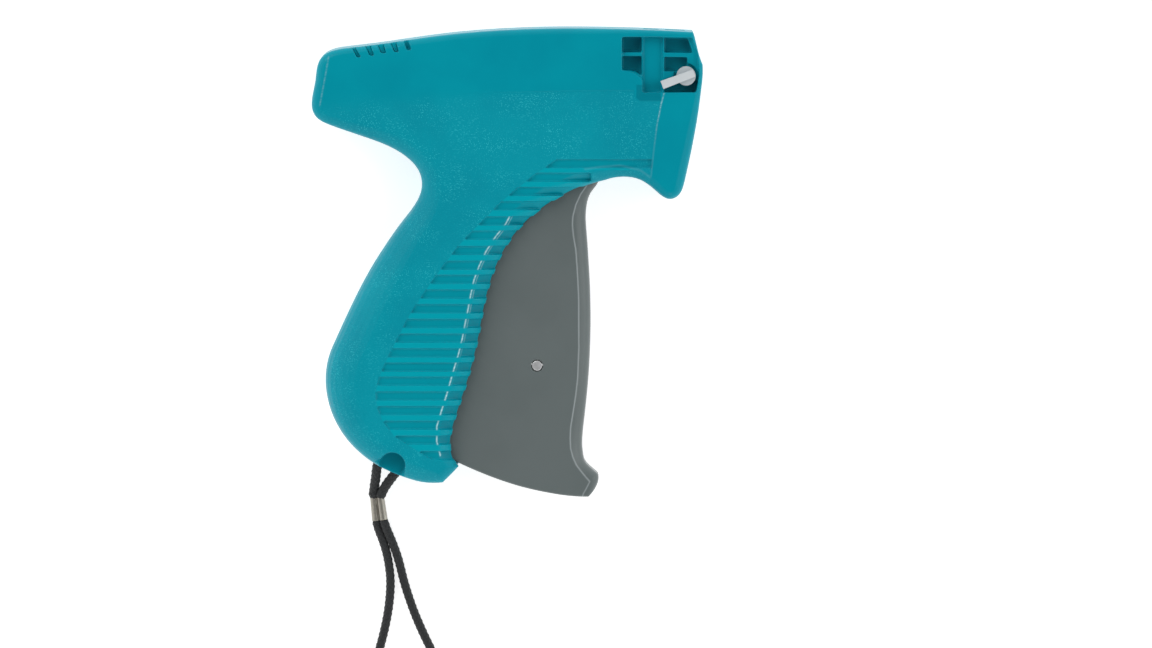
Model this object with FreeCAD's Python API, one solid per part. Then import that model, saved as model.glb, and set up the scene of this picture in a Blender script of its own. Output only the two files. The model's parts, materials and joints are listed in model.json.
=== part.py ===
import FreeCAD, Part
import math
import os

# Garment tag attacher: a squeeze gun with a two-shell plastic casing, a
# pivoted trigger, a bell crank that drives the ejector slide, a clip feed
# wheel in the front column, a needle lock lever in the side window, and a
# wrist lanyard.  Millimetres.  The gun lies on its left side: +X runs to the
# muzzle, +Y to the top of the barrel, +Z through the thickness.  The origin
# is the middle of the gun's outline box, on the face that it lies on.

V = FreeCAD.Vector
os.makedirs("parts", exist_ok=True)

# ----------------------------------------------------------- driving sizes
THICK = 24.0            # casing thickness over both shells
MID = THICK / 2.0       # joint plane of the two shells
WALL = 2.0              # shell wall
GAP = 0.3               # room between moving plastic faces
RUN = 0.05              # radial running clearance of a pin in its bore

PIVOT = (27.03, 30.85)  # trigger pivot pin
LINKPIN = (9.54, -33.07)  # link pin, seen on the trigger's side
CRANK = (-10.0, 18.5)   # bell crank pivot pin
KNEE = (-12.04, -7.44)  # link pin on the crank
TRIG_TURN = 18.0        # trigger squeeze, degrees
CRANK_RATIO = 2.5       # crank turn per trigger turn
STROKE = 28.0           # ejector travel
ROD_Y = 62.0            # needle axis
SLIDE_PIN_Y = 52.0      # cross pin of the slide
SLIDE_PIN_X = CRANK[0] - (SLIDE_PIN_Y - CRANK[1]) * math.tan(math.radians(26.0))
LOCK = (56.9, 59.5)     # needle lock lever axis
WHEEL = (43.9, 17.3)    # feed wheel axis, Y and Z
CHAN_X = (43.4, 48.2)   # clip channel, X
CHAN_Z = (9.2, 13.7)    # clip channel, Z
SLOT_HALF = 2.3         # half width of the clip slots in the casing
RECESS = (-36.6, -64.6) # lanyard recess centre
RECESS_R = 4.2
POST = (-37.6, -63.6)   # lanyard post
POST_Z = 8.0            # height of the cord round the post
CORD_D = 2.7            # wrist loop, drawn tight by its own weight
CORD_LOOSE = 3.0        # the same cord, slack between the ferrule and the post
ARM = (37.0, 36.0)       # index arm pivot

TRIG_Z = (5.5, 18.5)    # trigger side faces
TRIG_WALL = 1.6
POCKET_Z = (5.2, 18.8)  # trigger room in the casing
SWEEP_R = 106.7         # clearance circle of the trigger's lower edge

# ------------------------------------------------------------ outlines
# Stations of the casing outline: x, y, rounding width, rounding drop.
TIP = [
    (-15.40, -65.00, 3.0, 3.0), (-17.90, -67.60, 3.0, 3.0), (-20.50, -70.20, 3.2, 3.2)]
BACK = [
    (-20.50, -70.20, 3.2, 3.2), (-24.40, -70.45, 4.4, 4.4), (-28.40, -70.00, 5.0, 5.0),
    (-31.97, -68.99, 5.5, 5.5), (-40.34, -65.57, 6.5, 6.5), (-47.77, -60.35, 7.5, 7.5),
    (-53.50, -53.37, 8.5, 8.2), (-57.03, -45.03, 9.2, 9.0), (-57.91, -36.10, 9.6, 9.2),
    (-55.81, -27.31, 9.8, 9.4), (-52.05, -19.06, 9.8, 9.4), (-48.14, -10.87, 9.6, 9.2),
    (-43.90, -2.92, 9.2, 9.0), (-39.08, 4.79, 8.6, 8.4), (-33.86, 12.20, 7.8, 7.6),
    (-28.64, 19.45, 6.8, 6.6), (-27.17, 24.07, 6.2, 6.0), (-27.95, 28.73, 5.6, 5.4),
    (-31.01, 32.73, 5.0, 4.8), (-38.69, 37.47, 4.2, 4.2), (-47.14, 40.57, 3.6, 3.6),
    (-55.65, 43.56, 3.0, 3.0), (-58.11, 44.57, 2.8, 2.8), (-60.28, 45.96, 2.6, 2.8),
    (-61.73, 48.16, 2.6, 2.8), (-62.06, 51.40, 2.6, 2.8), (-60.94, 57.64, 2.6, 2.8),
    (-60.62, 60.45, 2.5, 2.6), (-60.07, 63.20, 2.3, 2.4), (-58.68, 65.63, 2.0, 2.2),
    (-56.33, 67.17, 2.0, 2.0), (-50.76, 68.36, 2.0, 2.0), (-41.77, 69.42, 2.0, 2.0),
    (-32.84, 70.70, 2.0, 2.0), (-23.87, 71.98, 2.0, 2.0), (-14.87, 73.02, 2.0, 2.0),
    (-5.82, 73.77, 2.0, 2.0), (3.27, 74.26, 2.0, 2.0), (12.27, 74.53, 2.0, 2.0),
    (21.30, 74.60, 2.0, 2.0), (30.32, 74.51, 1.8, 1.8), (39.32, 74.29, 1.6, 1.6),
    (48.41, 73.97, 1.4, 1.4), (59.15, 73.46, 1.2, 1.2)]
FRONT = [
    (59.15, 73.46, 1.2, 1.2), (60.30, 69.10, 1.2, 1.2), (61.25, 65.40, 1.2, 1.2), (62.20, 63.05, 1.2, 1.2)]
NOSE = [
    (62.20, 63.05, 1.2, 1.2), (62.25, 60.60, 1.2, 1.2), (61.72, 54.84, 1.6, 1.6), (60.82, 47.88, 2.2, 2.2),
    (59.67, 40.96, 2.6, 2.6), (58.32, 34.08, 2.8, 2.8), (56.83, 27.22, 2.8, 2.8),
    (56.27, 24.87, 2.7, 2.8), (55.74, 23.26, 2.6, 2.8), (54.88, 21.78, 2.5, 2.8),
    (53.57, 20.66, 2.4, 2.8), (51.97, 20.21, 2.4, 2.8), (50.26, 20.61, 2.5, 2.8),
    (47.97, 22.26, 2.8, 3.0), (42.41, 26.32, 3.2, 3.0), (35.62, 27.25, 3.4, 3.0),
    (31.29, 26.27, 3.6, 3.2)]
EDGE = [
    (31.29, 26.27, 3.6, 3.2), (24.95, 24.42, 4.2, 3.4), (18.98, 21.82, 4.6, 3.6),
    (13.35, 18.56, 5.0, 3.8), (8.17, 14.64, 5.2, 3.9), (3.59, 10.01, 5.3, 4.0),
    (-0.19, 4.70, 5.4, 4.0), (-3.13, -1.10, 5.4, 4.0), (-5.33, -7.23, 5.4, 4.0),
    (-6.91, -13.57, 5.4, 4.0), (-8.10, -19.98, 5.4, 4.0), (-9.34, -26.37, 5.3, 4.0),
    (-10.87, -32.72, 5.2, 4.0), (-12.69, -38.97, 5.0, 4.0), (-14.73, -45.18, 4.8, 4.0),
    (-16.73, -51.38, 4.6, 3.9), (-17.89, -57.78, 4.2, 3.6), (-17.35, -61.60, 3.7, 3.3),
    (-15.40, -65.00, 3.0, 3.0)]
# places where the long curves are parted, so that no face runs right round the gun
PARTED = [(-53.5, -53.4), (-55.8, -27.3), (-43.9, -2.9), (-60.9, 57.6), (-14.9, 73.0), (12.3, 74.5)]


def parted(seg):
    out, first = [], 0
    for (x, y) in PARTED:
        k = min(range(len(seg)), key=lambda i: abs(seg[i][0] - x) + abs(seg[i][1] - y))
        out.append(seg[first:k + 1])
        first = k
    return out + [seg[first:]]


CASING = [TIP] + parted(BACK) + [FRONT, NOSE, EDGE]
# the hollow inside follows a plainer line at the heel and the nose
HOLLOW = parted(
    [(-15.90, -65.19, 3.2, 3.0), (-19.41, -68.78, 3.2, 3.2), (-24.37, -70.17, 4.5, 4.5)] + BACK[3:]) + [
    [(59.15, 73.46, 1.2, 1.2), (60.50, 68.64, 1.2, 1.2), (62.33, 61.85, 1.2, 1.2)],
    [(62.33, 61.85, 1.2, 1.2)] + NOSE[2:],
    EDGE[:-2] + [(-15.90, -65.19, 3.2, 3.0)]]

# Trigger outline, clockwise from the neck: front face, toe, lower arc, rear.
U = 0.318
TX, TY = 507.0, 263.0


def tp(px, py):
    return ((px - TX) * U, (TY - py) * U)


T_FRONT = [(602, 168), (600.5, 177), (596.5, 186), (591, 193.5), (587.6, 202), (586, 212),
           (585.8, 222), (586.8, 236), (588.4, 258), (589.8, 282), (590.7, 318),
           (590.2, 348), (588.8, 375), (586.4, 402), (583.8, 425), (582.2, 445), (583.4, 458)]
T_TOE = [(583.4, 458), (586.4, 465.5), (592, 471), (598.2, 476.5)]
T_TIP = [(598.2, 476.5), (598.6, 482), (596.4, 488.5), (593, 494), (588.5, 499)]
T_LOW = [(588.5, 499), (566, 497.6), (544, 494), (520, 488.4), (496, 480.6), (472, 471),
         (458, 464.6), (442, 456.5)]
T_REAR = [(442, 456.5), (441.5, 438), (446, 418), (453, 396), (459.5, 374), (465, 352),
          (470, 330), (474, 310), (478.5, 292), (484.5, 275), (491.8, 260), (502, 246.5),
          (513, 234), (527, 219.5), (543, 206), (560, 194.5), (574, 182), (582.4, 171)]
T_TOP = [(582.4, 171), (583.2, 163.5), (587.5, 158.2), (593, 156.6), (598.6, 158.6), (602, 163), (602, 168)]


# ------------------------------------------------------------ geometry aids
def spline(pts):
    c = Part.BSplineCurve()
    c.interpolate(Points=[V(*p) for p in pts])
    return c


def normals(segs):
    """Inward unit offset vectors of every station (mitred at corners)."""
    out = []
    for seg in segs:
        c = spline([(p[0], p[1], 0.0) for p in seg])
        ns = []
        for p in seg:
            u = c.parameter(V(p[0], p[1], 0.0))
            t = c.tangent(u)[0]
            ns.append(V(t.y, -t.x, 0.0))      # right of travel is the inside
        out.append(ns)
    n = len(segs)
    for i in range(n):
        a = out[i][-1]
        b = out[(i + 1) % n][0]
        m = (a + b) / max(0.35, 1.0 + a.dot(b))
        out[i][-1] = m
        out[(i + 1) % n][0] = m
    return out


def ring_wire(segs, norms, inset, grow, zt, ang, line):
    """One ring of the rounded side: ang 0 is the wall's top, 90 the flat."""
    edges = []
    c, s = math.cos(math.radians(ang)), math.sin(math.radians(ang))
    f = ang / 90.0
    for seg, ns in zip(segs, norms):
        pts = []
        for (x, y, a, b), nv in zip(seg, ns):
            a2 = max(a + grow, 0.4)
            b2 = max(b + grow, 0.4)
            d = inset + a2 * ((1 - c) * (1 - line) + f * line)
            z = zt - b2 * ((1 - s) * (1 - line) + (1 - f) * line)
            pts.append((x + nv.x * d, y + nv.y * d, z))
        edges.append(spline(pts).toShape())
    return Part.Wire(edges)


def flat_wire(segs, norms, inset, z):
    edges = []
    for seg, ns in zip(segs, norms):
        pts = [(p[0] + nv.x * inset, p[1] + nv.y * inset, z) for p, nv in zip(seg, ns)]
        edges.append(spline(pts).toShape())
    return Part.Wire(edges)


def pillow(segs, z0, zt, inset=0.0, grow=0.0, line=0.25, angs=(0, 15, 30, 45, 60, 75, 90)):
    """Solid from the flat plane z0 up to a rounded-over top at zt."""
    norms = normals(segs)
    wires = [flat_wire(segs, norms, inset, z0)]
    for a in angs:
        wires.append(ring_wire(segs, norms, inset, grow, zt, a, line))
    s = Part.makeLoft(wires, True, True)
    if s.Volume < 0:
        s.reverse()
    return s


def flip(shape):
    """Mirror through the joint plane."""
    m = FreeCAD.Matrix()
    m.A33 = -1.0
    m.A34 = THICK
    return shape.transformGeometry(m) if False else shape.mirror(V(0, 0, MID), V(0, 0, 1))


def box(x0, x1, y0, y1, z0, z1):
    return Part.makeBox(x1 - x0, y1 - y0, z1 - z0, V(x0, y0, z0))


def cyl(r, h, p, d=(0, 0, 1)):
    return Part.makeCylinder(r, h, V(*p), V(*d))


def prism(pts, z0, z1):
    w = Part.makePolygon([V(x, y, z0) for x, y in pts] + [V(pts[0][0], pts[0][1], z0)])
    return Part.Face(w).extrude(V(0, 0, z1 - z0))


def slab(segs, z0, z1):
    """Straight-sided plate from smooth outline segments."""
    edges = [spline([(x, y, z0) for x, y in seg]).toShape() for seg in segs]
    return Part.Face(Part.Wire(edges)).extrude(V(0, 0, z1 - z0))


def bar(p, q, r, z0, z1):
    """Round-ended flat bar between two points."""
    p, q = V(p[0], p[1], 0), V(q[0], q[1], 0)
    d = q - p
    n = V(-d.y, d.x, 0)
    n.normalize()
    n = n * r
    pts = [(p + n), (q + n), (q - n), (p - n)]
    s = prism([(k.x, k.y) for k in pts], z0, z1)
    s = s.fuse(cyl(r, z1 - z0, (p.x, p.y, z0)))
    s = s.fuse(cyl(r, z1 - z0, (q.x, q.y, z0)))
    return s.removeSplitter()


def turn(p, c, deg):
    a = math.radians(deg)
    x, y = p[0] - c[0], p[1] - c[1]
    return (c[0] + x * math.cos(a) - y * math.sin(a), c[1] + x * math.sin(a) + y * math.cos(a))


def trace_slot(pts, r, z0, z1):
    """Slot of radius r along a chain of points."""
    s = None
    for a, b in zip(pts[:-1], pts[1:]):
        k = bar(a, b, r, z0, z1)
        s = k if s is None else s.fuse(k)
    return s


def one_solid(s):
    sol = s.Solids
    if len(sol) == 1:
        return sol[0]
    return s


def save(name, shape):
    shape = shape.removeSplitter() if shape.ShapeType == "Compound" and len(shape.Solids) == 1 else shape
    if len(shape.Solids) == 1:
        shape = shape.Solids[0]
    shape.exportStep("parts/%s.step" % name)
    bb = shape.BoundBox
    print("%-22s solids %d valid %s vol %9.1f  x %.1f..%.1f y %.1f..%.1f z %.1f..%.1f" % (
        name, len(shape.Solids), shape.isValid(), shape.Volume, bb.XMin, bb.XMax, bb.YMin, bb.YMax, bb.ZMin, bb.ZMax))
    return shape


# ------------------------------------------------------------ trigger shape
def trig_solid(inset, z0, z1, soft):
    """Trigger body between two side planes, front edges rounded."""
    def seg(pts, a, b):
        return [(tp(*p)[0], tp(*p)[1], a, b) for p in pts]
    fa, fb = (4.0, 3.4) if soft else (0.4, 0.4)
    front = []
    for i, p in enumerate(T_FRONT):
        k = min(1.0, i / 4.0)
        front.append((tp(*p)[0], tp(*p)[1], 0.5 + (fa - 0.5) * k if soft else 0.4,
                      0.5 + (fb - 0.5) * k if soft else 0.4))
    toe = [(tp(*p)[0], tp(*p)[1], fa - 0.5 * i, fb - 0.35 * i) for i, p in enumerate(T_TOE)]
    tip = [(tp(*p)[0], tp(*p)[1], a, a) for p, a in zip(T_TIP, (2.5, 2.4, 2.2, 1.6, 0.8))]
    toe[-1] = tip[0]
    front[-1] = toe[0]
    low = seg(T_LOW, 0.5, 0.5)
    low[0] = tip[-1]
    rear = seg(T_REAR, 0.4, 0.4)
    top = seg(T_TOP, 0.4, 0.4)
    top[-1] = front[0]
    top[0] = rear[-1]
    low[-1] = rear[0]
    return [front, toe, tip, low, rear, top]


def half_pillow(segs, z0, zt, inset, angs, line=0.3):
    return pillow(segs, z0, zt, inset=inset, grow=0.0, line=line, angs=angs)


def build_trigger():
    segs = trig_solid(0, 0, 0, True)
    up = half_pillow(segs, MID, TRIG_Z[1], 0.0, (0, 15, 30, 45, 60, 75, 90), 0.1)
    body = up.fuse(flip(up))
    # channel, open to the rear and the top, closed at the front and below
    plate = slab([[(tp(*p)) for p in s] for s in (T_FRONT, T_TOE, T_TIP, T_LOW, T_REAR, T_TOP)],
                 TRIG_Z[0] + TRIG_WALL, TRIG_Z[1] - TRIG_WALL)
    keep = []
    inner_front = [tp(x - 9.5, y) for x, y in [(586.4, 200), (584.8, 222), (587.4, 258), (589.7, 318), (589.2, 348),
                                              (587.8, 375), (585.4, 402), (582.8, 425), (581.2, 445), (582.4, 456),
                                              (588, 470), (590, 478)]]
    inner_low = [tp(x, y) for x, y in [(583, 491), (566, 490), (544, 486.6), (520, 481), (496, 473.2), (472, 463.6), (458, 457.2),
                                       (448, 452.4), (430, 444)]]
    room = inner_front + inner_low + [tp(420, 440), tp(420, 200), tp(560, 186), tp(566, 190)]
    channel = prism(room, TRIG_Z[0] + TRIG_WALL, TRIG_Z[1] - TRIG_WALL)
    body = body.cut(channel)
    body = body.cut(cyl(1.5 + RUN, 20, (PIVOT[0], PIVOT[1], 2)))
    body = body.cut(cyl(1.9, 20, (LINKPIN[0], LINKPIN[1], 2)))
    return body


# ------------------------------------------------------------ casing halves
GROOVE_TOP = [159.2, 172.9, 187.0, 201.3, 216.5, 230.8, 246.0, 260.8, 275.0, 289.7, 304.5,
              319.2, 334.0, 348.7, 362.9, 377.0, 391.8, 406.5, 421.3, 436.3, 451.8]
GROOVE_H = 8.8
GROOVE_DEEP = 0.8
GROOVE_LEFT = [(557.0, 159.2), (536.8, 172.9), (518.6, 187.0), (501.4, 201.3), (486.7, 216.5),
               (472.2, 230.8), (458.0, 246.0), (446.8, 260.8), (436.0, 275.0), (425.9, 289.7),
               (416.0, 304.5), (407.0, 319.2), (399.6, 334.0), (391.9, 348.7), (385.0, 362.9),
               (379.0, 377.0), (375.5, 391.8), (376.6, 406.5), (382.5, 421.3), (393.8, 436.3),
               (417.9, 451.8), (432.6, 460.6)]


def groove_tool():
    tools = []
    for i, y in enumerate(GROOVE_TOP):
        (xa, ya), (xb, yb) = GROOVE_LEFT[i], GROOVE_LEFT[i + 1]
        f = GROOVE_H / (yb - ya)
        xe = xa + (xb - xa) * min(f, 1.0)
        xr = 652.0 if i == 0 else (591.0 if i == 1 else 600.0)
        pts = [tp(xa, y), tp(xr, y), tp(xr, y + GROOVE_H), tp(xe, y + GROOVE_H)]
        tools.append(prism(pts, MID, THICK + 2))
    return Part.Compound(tools)


def window_tools():
    """Recess, pockets and channel of the side window in the right shell."""
    a = []
    frame = [(622, 37), (691.5, 37.5), (697.5, 54), (699, 74), (697.5, 84), (696, 92.3), (646.5, 92.3),
             (645, 85), (641.5, 78.5), (636, 73.5), (629.5, 71), (622, 70.4)]
    a.append(prism([tp(*p) for p in frame], THICK - 1.6, THICK + 2))
    deep = THICK - 5.4
    for p in ([(622, 37), (641.5, 37), (641.5, 52.3), (622, 52.3)],
              [(622, 56.2), (641.5, 56.2), (641.5, 76), (636, 72), (629.5, 70.4), (622, 70)],
              [(664, 38), (687.5, 38.6), (692.5, 53), (664, 52.6)],
              [(664, 57), (687, 57.6), (687, 71.5), (664, 71.5)],
              [(664, 80), (698, 80), (695.6, 92.3), (664, 92.3)]):
        a.append(prism([tp(*q) for q in p], deep, THICK + 2))
    cx = tp(652.5, 0)[0]
    y0, y1 = tp(0, 92.3)[1], tp(0, 37)[1]
    r = 7.5
    a.append(cyl(r, y1 - y0, (cx, y0, THICK - 3.0 + r - 0.2), (0, 1, 0)).common(
        box(tp(642.6, 0)[0], tp(662.4, 0)[0], y0, y1, THICK - 6, THICK + 2)))
    a.append(cyl(3.9, 8, (LOCK[0], LOCK[1], THICK - 3.4)))
    return a


NOTCHES = [((353.2, 49.3), (356.1, 49.3), (361.8, 57.3), (357.2, 57.3)),
           ((367.0, 48.7), (371.6, 48.7), (374.5, 55.4), (369.9, 55.4)),
           ((378.5, 46.4), (384.2, 46.4), (386.5, 53.0), (381.3, 53.0)),
           ((391.7, 44.7), (396.8, 44.7), (399.1, 51.9), (394.5, 51.9)),
           ((404.3, 42.4), (408.9, 42.4), (411.8, 50.1), (407.2, 50.1))]


def notch_tools():
    """Slanted thumb notches: a nick in the top edge, a shallow pocket below it."""
    out = []
    for a, b, c, d in NOTCHES:
        ka, kb = (d[0] - a[0]) / (d[1] - a[1]), (c[0] - b[0]) / (c[1] - b[1])
        a = (a[0] - 5.0 * ka, a[1] - 5.0)
        b = (b[0] - 5.0 * kb, b[1] - 5.0)
        out.append(prism([tp(*q) for q in (a, b, c, d)], THICK - 2.0, THICK + 1))
    return out


def ribbed_shell():
    outer = pillow(CASING, MID, THICK)
    core = pillow(HOLLOW, MID, THICK - WALL, inset=WALL, grow=-1.2)
    inner = pillow(CASING, MID, THICK - GROOVE_DEEP, inset=0.35, grow=0.1, line=0.6)
    grooves = groove_tool().cut(inner)
    return outer.cut([core] + grooves.Solids)


def shell_half(base, right):
    body = base.copy()
    # thickened places that carry pins, guides and the window
    adds = []
    zt = THICK - 1.2

    def boss(x, y, r, z0, z1=zt):
        adds.append(cyl(r, z1 - z0, (x, y, z0)))
    boss(PIVOT[0], PIVOT[1], 2.7, TRIG_Z[1] + GAP)
    boss(CRANK[0], CRANK[1], 2.5, 15.4)
    boss(-54.5, 58.0, 2.4, 14.4)
    # slide rails
    adds.append(box(-42.0, 20.0, 57.2, 58.7, 15.8, zt))
    adds.append(box(-42.0, 20.0, 63.8, 65.3, 15.8, zt))
    # post of the lanyard, and the floor of its notch
    boss(POST[0], POST[1], 2.6, 15.6 if right else 19.6)
    # bearings of the feed shaft, and the rest of the clip guide
    if right:
        adds.append(box(39.6, 42.0, 41.9, 45.9, 15.0, zt))
        adds.append(box(54.0, 56.4, 41.9, 45.9, 15.0, zt))
    else:
        adds.append(box(42.6, 49.0, 31.0, 56.0, 16.2, zt))
    # joining posts
    for (x, y) in JOIN:
        boss(x, y, 2.2, MID)
    # backing of the thumb notches
    adds.append(box(-51.0, -40.5, 62.5, 70.0, 19.0, zt))
    adds.append(box(-42.0, -28.5, 65.5, 72.0, 19.0, zt))
    # seats of the front blocks
    adds.append(box(35.4, 42.4, 57.9, 66.1, 15.0, zt))
    adds.append(box(49.4, 58.4, 57.9, 66.1, 15.0, zt))
    if right:
        adds.append(prism([tp(*p) for p in [(616, 33.5), (690.5, 34.5), (695.5, 54), (697.8, 69), (695.4, 98), (616, 98)]],
                          THICK - 7.2, zt))
    inside = pillow(CASING, MID, THICK - 0.9, inset=0.9, grow=-0.3)
    lump = adds[0].fuse(adds[1:])
    lump = lump.common(inside)
    body = body.fuse(lump)
    # trigger room
    room = [(31.0, 29.6), (31.0, 20.0), (62.0, 16.0), (62.0, -92.0), (-20.0, -92.0)]
    norms = normals([[(p[0], p[1]) for p in EDGE]])[0]
    rim = []
    for (x, y, a, b), nv in list(zip(EDGE, norms))[::-1]:
        rim.append((x + nv.x * 5.6, y + nv.y * 5.6))
    rim[0] = (-22.0, -64.5)
    rim = rim[:-1] + [(27.0, 33.8)]
    pocket = prism(room + rim, MID - 1, POCKET_Z[1]).common(cyl(SWEEP_R, 30, (PIVOT[0], PIVOT[1], 0)))
    pocket = pocket.fuse(cyl(3.1, POCKET_Z[1] - MID + 1, (PIVOT[0], PIVOT[1], MID - 1)))
    cuts = [pocket]
    # pin bores
    cuts.append(cyl(1.5, THICK - 2.0 - MID, (PIVOT[0], PIVOT[1], MID)))
    cuts.append(cyl(1.5, 9.0, (CRANK[0], CRANK[1], MID)))
    cuts.append(cyl(1.25, 8.4, (-54.5, 58.0, MID)))
    # feed shaft bearings and wheel room
    if right:
        cuts.append(cyl(1.25 + RUN, 18.6, (38.0, WHEEL[0], WHEEL[1]), (1, 0, 0)))
        cuts.append(cyl(1.0, 11.2, (ARM[0], ARM[1], MID)))
        cuts.append(cyl(4.15, 6.2, (42.9, WHEEL[0], WHEEL[1]), (1, 0, 0)))
    # clip channel: slot in the top edge and in the hood
    cuts.append(box(CHAN_X[0], CHAN_X[1], 70.0, 80.0, MID - 2, MID + SLOT_HALF))
    cuts.append(box(50.4, 56.6, 71.4, 80.0, MID - 2, MID + SLOT_HALF))
    cuts.append(box(CHAN_X[0], CHAN_X[1], 15.0, 34.0, MID - 2, MID + SLOT_HALF))
    # muzzle opening
    cuts.append(cyl(3.0, 10.0, (57.0, ROD_Y, MID), (1, 0, 0)))
    # rear thumb notches
    cuts += notch_tools()
    # front block room
    cuts.append(box(34.6, 59.4, 57.2, 66.8, MID - 1, 15.0))
    cuts.append(cyl(1.75, 3.6 if right else 9.0, (POST[0], POST[1], MID)))
    if right:
        cuts += window_tools()
        cuts.append(cyl(2.0 + RUN, 14.0, (LOCK[0], LOCK[1], 14.0)))
        cuts.append(cyl(3.0, 2.2, (LOCK[0], LOCK[1], 15.0)))
        # open notch over the lanyard
        nx, ny = tp(392, 466)
        n = cyl(4.15, 12, (nx, ny, THICK - 6.4)).fuse(
            prism([tp(379, 466), tp(405, 466), tp(403, 492), tp(372, 492), tp(366, 470), tp(380.6, 458)], THICK - 6.4, THICK + 4))
        cuts.append(n)
    return body.cut(cuts)


JOIN = [(-50.0, -36.0), (-20.5, 69.2), (36.0, 50.0), (-51.0, 49.5), (-24.5, -65.0), (53.0, 31.0)]


def build_casings():
    base = ribbed_shell()
    right = shell_half(base, True)
    # floor plate of the lanyard notch, joined on
    nx, ny = tp(392, 466)
    lip = pillow(CASING, MID, THICK - 0.9, inset=0.9, grow=-0.3)
    floor = cyl(5.6, 1.8, (nx, ny, THICK - 8.2)).fuse(box(nx - 5.6, nx + 5.6, ny - 8, ny, THICK - 8.2, THICK - 6.4))
    floor = floor.fuse(cyl(5.6, 3.6, (nx, ny, THICK - 8.2)).cut(cyl(4.15, 9, (nx, ny, THICK - 6.4))))
    right = right.fuse(floor.common(pillow(CASING, MID, THICK)))
    left = flip(shell_half(base, False))
    # cord slot through the handle's lower edge
    slot = cord_slot()
    right = right.cut(slot)
    left = left.cut(slot)
    # joining posts: sockets on the right, spigots on the left
    right = right.cut([cyl(1.1, 4.2, (x, y, MID)) for x, y in JOIN])
    left = left.fuse([cyl(1.1, 7.0, (x, y, MID - 3.0)) for x, y in JOIN])
    return right, left


def cord_slot():
    c = tp(386, 470)
    return prism([(c[0] - 7.2, c[1] + 5.5), (c[0] + 6.9, c[1] + 5.5), (c[0] + 6.9, c[1] - 9), (c[0] - 7.2, c[1] - 9)], POST_Z - 3.7, POST_Z + 2.3)


# ------------------------------------------------------------ drive train
def build_crank():
    up0 = (SLIDE_PIN_X, SLIDE_PIN_Y)
    z0, z1 = 10.2, 13.4
    up_end = turn((CRANK[0], CRANK[1] + 37.6), CRANK, 26.0)
    s = bar(CRANK, KNEE, 3.0, z0, z1).fuse(bar(CRANK, up_end, 3.4, z0, z1))
    s = s.fuse(cyl(4.4, z1 - z0, (CRANK[0], CRANK[1], z0)))
    s = s.fuse(cyl(3.4, 6.0, (CRANK[0], CRANK[1], z0 - 1.2)))
    s = s.cut(cyl(1.5 + RUN, 10, (CRANK[0], CRANK[1], 5)))
    s = s.cut(cyl(1.5, 10, (KNEE[0], KNEE[1], 5)))
    # slot that follows the slide's cross pin through the whole stroke
    pts = []
    for i in range(13):
        f = i / 12.0
        pin = (up0[0] + STROKE * f, SLIDE_PIN_Y)
        pts.append(turn(pin, CRANK, TRIG_TURN * CRANK_RATIO * f))
    pts.sort(key=lambda q: math.hypot(q[0] - CRANK[0], q[1] - CRANK[1]))
    a, b = pts[0], pts[-1]
    s = s.cut(trace_slot(pts, 1.5 + 0.12, z0 - 1, z1 + 1))
    # lightening holes
    for f, r in ((0.32, 1.5), (0.52, 1.5)):
        q = (CRANK[0] + (KNEE[0] - CRANK[0]) * f, CRANK[1] + (KNEE[1] - CRANK[1]) * f)
        s = s.cut(cyl(r, 10, (q[0], q[1], 5)))
    return s


def build_link():
    s = bar(LINKPIN, KNEE, 3.6, 13.9, 16.1)
    s = s.cut(cyl(1.9 + RUN, 10, (LINKPIN[0], LINKPIN[1], 10)))
    s = s.cut(cyl(1.5 + 1.25, 10, (KNEE[0], KNEE[1], 10)))
    # waisted middle
    d = V(KNEE[0] - LINKPIN[0], KNEE[1] - LINKPIN[1], 0)
    n = V(-d.y, d.x, 0)
    n.normalize()
    d1 = V(d.x, d.y, 0)
    d1.normalize()
    m = V(LINKPIN[0], LINKPIN[1], 0) + d * 0.5
    for k in (1, -1):
        c = m + n * (k * 3.9)
        pts = []
        for (u, w) in ((-10, 1.6), (-7.5, -1.3), (7.5, -1.3), (10, 1.6)):
            q = c + d1 * u + n * (k * w)
            pts.append((q.x, q.y))
        s = s.cut(prism(pts, 12, 18))
    return s


def build_slide():
    x0 = SLIDE_PIN_X - 9.0
    x1 = SLIDE_PIN_X + 11.0
    z0, z1 = 8.5, 15.5
    s = box(x0, x1, 57.5, 65.0, z0, z1)
    s = s.fuse(box(SLIDE_PIN_X - 3.6, SLIDE_PIN_X + 3.6, 49.0, 57.5, z0, 9.9))
    s = s.fuse(box(SLIDE_PIN_X - 3.6, SLIDE_PIN_X + 3.6, 49.0, 57.5, 13.7, z1))
    # lower side grooves run on the rails
    s = s.fuse(box(x0 + 1, x1 - 1, 59.0, 63.5, 8.5 - 1.6, 15.5 + 1.6))
    # roof space for the crank's end
    s = s.cut(box(SLIDE_PIN_X - 4.6, SLIDE_PIN_X + 9.5, 57.0, 60.4, 9.9, 13.7))
    s = s.cut(cyl(1.5, 12, (SLIDE_PIN_X, SLIDE_PIN_Y, 6)))
    s = s.cut(cyl(0.9, 9, (x1 - 8.0, ROD_Y, MID), (1, 0, 0)))
    # spring eye at the rear
    s = s.fuse(box(x0 - 3.4, x0, 56.6, 60.0, 11.0, 13.0)).cut(cyl(0.8, 6, (x0 - 1.8, 58.2, 9)))
    return s


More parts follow.
